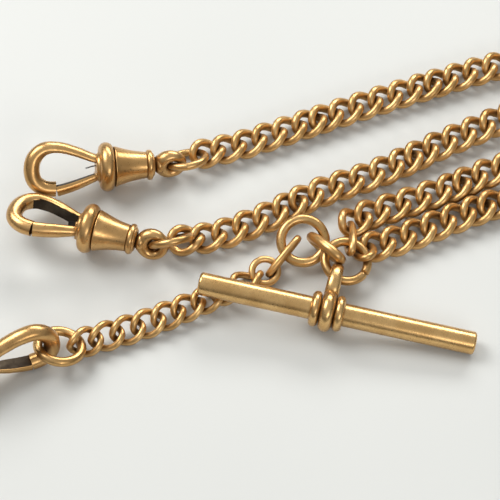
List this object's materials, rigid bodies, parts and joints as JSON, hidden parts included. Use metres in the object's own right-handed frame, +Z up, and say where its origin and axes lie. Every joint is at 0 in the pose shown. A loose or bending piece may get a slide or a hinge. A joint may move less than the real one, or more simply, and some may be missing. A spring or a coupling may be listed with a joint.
{
  "type": "pocket watch chain",
  "caption": "Gold double Albert pocket watch chain: curb chain arms with swivel dog clips, a T-bar and a drop chain, laid out flat.",
  "frame": {"origin": "centre of the laid-out chain's bounding box, on the surface it lies on", "axes": "+Z up from the surface; +X along the two arms, from the dog clips towards the bends; +Y across the layout, from the T-bar towards the arms"},
  "size_m": [0.1112, 0.0616, 0.0074],
  "materials": {
    "chain_gold": "polished rose gold with brown grime between the links",
    "ring_gold": "polished rose gold, worn soft",
    "bar_gold": "polished rose gold with fine scratches",
    "clip_gold": "polished rose gold, darkened in the hollows",
    "pin_gold": "dull gold",
    "spring_steel": "dark spring steel"
  },
  "bodies": {
    "split_ring": {"split_ring": "ring_gold"},
    "t_bar_shank": {"t_bar_shank": "bar_gold"},
    "t_bar": {"t_bar_rod": "bar_gold", "t_bar_bead_left": "bar_gold", "t_bar_bead_right": "bar_gold"},
    "thick_connecting_link": {"thick_connecting_link": "chain_gold"},
    "drop_top_ring": {"drop_top_ring": "ring_gold"},
    "drop_oval_link": {"drop_oval_link": "chain_gold"},
    "drop_round_link": {"drop_round_link": "chain_gold"},
    "drop_curb_link_1": {"drop_curb_link_1": "chain_gold"},
    "drop_curb_link_2": {"drop_curb_link_2": "chain_gold"},
    "drop_curb_link_3": {"drop_curb_link_3": "chain_gold"},
    "drop_curb_link_4": {"drop_curb_link_4": "chain_gold"},
    "drop_curb_link_5": {"drop_curb_link_5": "chain_gold"},
    "drop_curb_link_6": {"drop_curb_link_6": "chain_gold"},
    "drop_curb_link_7": {"drop_curb_link_7": "chain_gold"},
    "drop_curb_link_8": {"drop_curb_link_8": "chain_gold"},
    "drop_curb_link_9": {"drop_curb_link_9": "chain_gold"},
    "drop_end_ring": {"drop_end_ring": "ring_gold"},
    "near_arm_connecting_link": {"near_arm_connecting_link": "chain_gold"},
    "near_arm_run_1": {"near_arm_run_1": "chain_gold"},
    "near_arm_run_2": {"near_arm_run_2": "chain_gold"},
    "near_arm_run_3": {"near_arm_run_3": "chain_gold"},
    "near_arm_run_4": {"near_arm_run_4": "chain_gold"},
    "near_arm_run_5": {"near_arm_run_5": "chain_gold"},
    "near_arm_run_6": {"near_arm_run_6": "chain_gold"},
    "near_arm_run_7": {"near_arm_run_7": "chain_gold"},
    "near_jump_ring": {"near_jump_ring": "ring_gold"},
    "near_clip_hook": {"near_clip_hook_body": "clip_gold", "near_clip_gate_pin": "pin_gold", "near_clip_gate_spring": "spring_steel", "near_clip_collar": "clip_gold", "near_clip_bell": "clip_gold"},
    "near_clip_gate": {"near_clip_gate": "clip_gold"},
    "near_clip_eye": {"near_clip_swivel_eye": "clip_gold"},
    "far_arm_connecting_link": {"far_arm_connecting_link": "chain_gold"},
    "far_arm_run_1": {"far_arm_run_1": "chain_gold"},
    "far_arm_run_2": {"far_arm_run_2": "chain_gold"},
    "far_arm_run_3": {"far_arm_run_3": "chain_gold"},
    "far_arm_run_4": {"far_arm_run_4": "chain_gold"},
    "far_arm_run_5": {"far_arm_run_5": "chain_gold"},
    "far_arm_run_6": {"far_arm_run_6": "chain_gold"},
    "far_arm_run_7": {"far_arm_run_7": "chain_gold"},
    "far_jump_ring": {"far_jump_ring": "ring_gold"},
    "far_clip_hook": {"far_clip_hook_body": "clip_gold", "far_clip_gate_pin": "pin_gold", "far_clip_gate_spring": "spring_steel", "far_clip_collar": "clip_gold", "far_clip_bell": "clip_gold"},
    "far_clip_gate": {"far_clip_gate": "clip_gold"},
    "far_clip_eye": {"far_clip_swivel_eye": "clip_gold"},
    "drop_clip_hook": {"drop_clip_hook_body": "clip_gold", "drop_clip_gate_pin": "pin_gold", "drop_clip_gate_spring": "spring_steel", "drop_clip_collar": "clip_gold", "drop_clip_bell": "clip_gold"},
    "drop_clip_gate": {"drop_clip_gate": "clip_gold"},
    "drop_clip_eye": {"drop_clip_swivel_eye": "clip_gold"},
    "drop_jump_ring": {"drop_jump_ring": "ring_gold"}
  },
  "joints": [
    {"name": "t_bar_lift", "type": "hinge", "parent": "split_ring", "child": "t_bar_shank", "pos_m": [0.00549, -0.01079, 0.00237], "axis": [-0.9792, 0.203, 0], "range_deg": [0, 40]},
    {"name": "t_bar_spin", "type": "hinge", "parent": "t_bar_shank", "child": "t_bar", "pos_m": [0.00205, -0.01578, 0.00293], "axis": [0.9762, -0.2024, -0.0774], "continuous": true},
    {"name": "thick_connecting_link_swing", "type": "hinge", "parent": "split_ring", "child": "thick_connecting_link", "pos_m": [0.00233, -0.00695, 0.00326], "axis": [0.4648, 0.8812, 0.0857], "range_deg": [-6, 0]},
    {"name": "drop_top_ring_swing", "type": "hinge", "parent": "thick_connecting_link", "child": "drop_top_ring", "pos_m": [0.00267, -0.00578, 0.00098], "axis": [-0.5691, 0.7441, -0.3499], "range_deg": [-6, 0]},
    {"name": "drop_oval_link_swing", "type": "hinge", "parent": "drop_top_ring", "child": "drop_oval_link", "pos_m": [-0.00316, -0.00641, 0.00195], "axis": [-0.5878, 0.7393, 0.3286], "range_deg": [-6, 0]},
    {"name": "drop_round_link_swing", "type": "hinge", "parent": "drop_oval_link", "child": "drop_round_link", "pos_m": [-0.00462, -0.00781, 0.00047], "axis": [0.5953, 0.8033, 0.0186], "range_deg": [-6, 0]},
    {"name": "drop_curb_link_1_bend", "type": "hinge", "parent": "drop_round_link", "child": "drop_curb_link_1", "pos_m": [-0.00738, -0.0099, 0.00134], "axis": [-0.5638, 0.7578, 0.3283], "range_deg": [-7, 0]},
    {"name": "drop_curb_link_2_bend", "type": "hinge", "parent": "drop_curb_link_1", "child": "drop_curb_link_2", "pos_m": [-0.00866, -0.01199, 0.00115], "axis": [0.9211, -0.0412, 0.387], "range_deg": [-7, 7]},
    {"name": "drop_curb_link_3_bend", "type": "hinge", "parent": "drop_curb_link_2", "child": "drop_curb_link_3", "pos_m": [-0.01243, -0.01127, 0.00162], "axis": [0.4025, 0.8818, -0.2457], "range_deg": [-5, 7]},
    {"name": "drop_curb_link_4_bend", "type": "hinge", "parent": "drop_curb_link_3", "child": "drop_curb_link_4", "pos_m": [-0.01494, -0.01256, 0.0018], "axis": [0.4191, 0.8983, -0.1319], "range_deg": [-7, 7]},
    {"name": "drop_curb_link_5_bend", "type": "hinge", "parent": "drop_curb_link_4", "child": "drop_curb_link_5", "pos_m": [-0.01658, -0.01568, 0.00059], "axis": [-0.9679, 0.2435, -0.0628], "range_deg": [-7, 7]},
    {"name": "drop_curb_link_6_bend", "type": "hinge", "parent": "drop_curb_link_5", "child": "drop_curb_link_6", "pos_m": [-0.01998, -0.0152, 0.00216], "axis": [0.4117, 0.9092, 0.062], "range_deg": [-7, 7]},
    {"name": "drop_curb_link_7_bend", "type": "hinge", "parent": "drop_curb_link_6", "child": "drop_curb_link_7", "pos_m": [-0.02246, -0.01644, 0.00236], "axis": [0.4548, 0.883, 0.1162], "range_deg": [-7, 7]},
    {"name": "drop_curb_link_8_bend", "type": "hinge", "parent": "drop_curb_link_7", "child": "drop_curb_link_8", "pos_m": [-0.02499, -0.01759, 0.0026], "axis": [0.5153, 0.8362, 0.1877], "range_deg": [-7, 7]},
    {"name": "drop_curb_link_9_bend", "type": "hinge", "parent": "drop_curb_link_8", "child": "drop_curb_link_9", "pos_m": [-0.0275, -0.01957, 0.00058], "axis": [-0.8724, 0.2564, 0.4162], "range_deg": [-7, 7]},
    {"name": "drop_end_ring_swing", "type": "hinge", "parent": "drop_curb_link_9", "child": "drop_end_ring", "pos_m": [-0.0302, -0.02043, 0.0007], "axis": [-0.8578, 0.2021, 0.4725], "range_deg": [-6, 8]},
    {"name": "near_arm_connecting_link_swing", "type": "hinge", "parent": "split_ring", "child": "near_arm_connecting_link", "pos_m": [0.00536, -0.00552, 0.00317], "axis": [0.9702, -0.2056, -0.1279], "range_deg": [-4, 3]},
    {"name": "near_arm_run_1_bend", "type": "hinge", "parent": "near_arm_connecting_link", "child": "near_arm_run_1", "pos_m": [0.00511, -0.00354, 0.0008], "axis": [-0.0489, -0.9376, 0.3442], "range_deg": [-5, 8]},
    {"name": "near_arm_run_2_bend", "type": "hinge", "parent": "near_arm_run_1", "child": "near_arm_run_2", "pos_m": [0.02087, 0.00509, 0.00138], "axis": [-0.4339, 0.901, 0], "range_deg": [-10, 10]},
    {"name": "near_arm_run_3_bend", "type": "hinge", "parent": "near_arm_run_2", "child": "near_arm_run_3", "pos_m": [0.03753, 0.01045, 0.00138], "axis": [0.1512, -0.9885, 0], "range_deg": [-10, 10]},
    {"name": "near_arm_run_4_bend", "type": "hinge", "parent": "near_arm_run_3", "child": "near_arm_run_4", "pos_m": [0.0429, 0.02307, 0.00138], "axis": [-0.3009, -0.9536, 0], "range_deg": [-8, 8]},
    {"name": "near_arm_run_5_bend", "type": "hinge", "parent": "near_arm_run_4", "child": "near_arm_run_5", "pos_m": [0.03008, 0.01762, 0.00138], "axis": [-0.5, 0.866, 0], "range_deg": [-10, 10]},
    {"name": "near_arm_run_6_bend", "type": "hinge", "parent": "near_arm_run_5", "child": "near_arm_run_6", "pos_m": [0.01454, 0.00944, 0.00138], "axis": [0.4855, -0.8742, 0], "range_deg": [-10, 10]},
    {"name": "near_arm_run_7_bend", "type": "hinge", "parent": "near_arm_run_6", "child": "near_arm_run_7", "pos_m": [-0.00137, 0.00206, 0.00138], "axis": [-0.4996, 0.8663, 0], "range_deg": [-10, 10]},
    {"name": "near_jump_ring_swing", "type": "hinge", "parent": "near_arm_run_7", "child": "near_jump_ring", "pos_m": [-0.01837, -0.00433, 0.00142], "axis": [-0.1206, 0.6323, 0.7652], "range_deg": [0, 6]},
    {"name": "near_clip_eye_swing", "type": "hinge", "parent": "near_jump_ring", "child": "near_clip_eye", "pos_m": [-0.0208, -0.00532, 0.00238], "axis": [-0.0454, -0.6066, 0.7937], "range_deg": [0, 10]},
    {"name": "near_clip_swivel", "type": "hinge", "parent": "near_clip_eye", "child": "near_clip_hook", "pos_m": [-0.02905, -0.00348, 0.00343], "axis": [0.9682, -0.2401, -0.07], "continuous": true},
    {"name": "near_clip_gate_opening", "type": "hinge", "parent": "near_clip_hook", "child": "near_clip_gate", "pos_m": [-0.03065, -0.00402, 0.00381], "axis": [-0.1353, -0.2677, -0.954], "range_deg": [0, 22], "stiffness_Nm_per_rad": 0.004, "springref_deg": -22.92},
    {"name": "far_arm_connecting_link_swing", "type": "hinge", "parent": "split_ring", "child": "far_arm_connecting_link", "pos_m": [0.0071, -0.00676, 0.00281], "axis": [0.5074, -0.8433, -0.1772], "range_deg": [-4, 5]},
    {"name": "far_arm_run_1_bend", "type": "hinge", "parent": "far_arm_connecting_link", "child": "far_arm_run_1", "pos_m": [0.00611, -0.00579, 0.00129], "axis": [-0.146, -0.7877, 0.5985], "range_deg": [-4, 2]},
    {"name": "far_arm_run_2_bend", "type": "hinge", "parent": "far_arm_run_1", "child": "far_arm_run_2", "pos_m": [0.02396, 0.00132, 0.00138], "axis": [-0.3626, 0.9319, 0], "range_deg": [-10, 10]},
    {"name": "far_arm_run_3_bend", "type": "hinge", "parent": "far_arm_run_2", "child": "far_arm_run_3", "pos_m": [0.04374, 0.0065, 0.00138], "axis": [0.3561, -0.9344, 0], "range_deg": [-10, 10]},
    {"name": "far_arm_run_4_bend", "type": "hinge", "parent": "far_arm_run_3", "child": "far_arm_run_4", "pos_m": [0.05221, 0.02215, 0.00138], "axis": [-0.9119, -0.4103, 0], "range_deg": [-10, 10]},
    {"name": "far_arm_run_5_bend", "type": "hinge", "parent": "far_arm_run_4", "child": "far_arm_run_5", "pos_m": [0.03445, 0.0275, 0.00138], "axis": [-0.2767, 0.961, 0], "range_deg": [-10, 10]},
    {"name": "far_arm_run_6_bend", "type": "hinge", "parent": "far_arm_run_5", "child": "far_arm_run_6", "pos_m": [0.01787, 0.02198, 0.00138], "axis": [0.3427, -0.9395, 0], "range_deg": [-10, 10]},
    {"name": "far_arm_run_7_bend", "type": "hinge", "parent": "far_arm_run_6", "child": "far_arm_run_7", "pos_m": [0.00156, 0.0157, 0.00138], "axis": [-0.3765, 0.9264, 0], "range_deg": [-10, 10]},
    {"name": "far_jump_ring_swing", "type": "hinge", "parent": "far_arm_run_7", "child": "far_jump_ring", "pos_m": [-0.01564, 0.00975, 0.00177], "axis": [0.0312, 0.6982, 0.7152], "range_deg": [-5, 3]},
    {"name": "far_clip_eye_swing", "type": "hinge", "parent": "far_jump_ring", "child": "far_clip_eye", "pos_m": [-0.01886, 0.00797, 0.00198], "axis": [0.2155, -0.8021, 0.557], "range_deg": [-6, 10]},
    {"name": "far_clip_swivel", "type": "hinge", "parent": "far_clip_eye", "child": "far_clip_hook", "pos_m": [-0.02715, 0.00642, 0.00343], "axis": [0.9826, 0.1419, -0.12], "continuous": true},
    {"name": "far_clip_gate_opening", "type": "hinge", "parent": "far_clip_hook", "child": "far_clip_gate", "pos_m": [-0.02855, 0.00551, 0.00297], "axis": [-0.1839, 0.6495, -0.7378], "range_deg": [0, 22], "stiffness_Nm_per_rad": 0.004, "springref_deg": -22.92},
    {"name": "drop_clip_swing", "type": "hinge", "parent": "drop_end_ring", "child": "drop_clip_hook", "pos_m": [-0.03467, -0.02116, 0.00318], "axis": [-0.2381, 0.9394, -0.2465], "range_deg": [-5, 10]},
    {"name": "drop_clip_swivel", "type": "hinge", "parent": "drop_clip_hook", "child": "drop_clip_eye", "pos_m": [-0.04245, -0.02428, 0.00368], "axis": [-0.9326, -0.361, 0], "continuous": true},
    {"name": "drop_clip_gate_opening", "type": "hinge", "parent": "drop_clip_hook", "child": "drop_clip_gate", "pos_m": [-0.04104, -0.02391, 0.00274], "axis": [0.3555, -0.9184, 0.1736], "range_deg": [0, 22], "stiffness_Nm_per_rad": 0.004, "springref_deg": -22.92},
    {"name": "drop_jump_ring_swing", "type": "hinge", "parent": "drop_clip_eye", "child": "drop_jump_ring", "pos_m": [-0.05184, -0.02744, 0.00292], "axis": [0.4245, 0.5897, -0.6871], "range_deg": [-8, 12]}
  ]
}
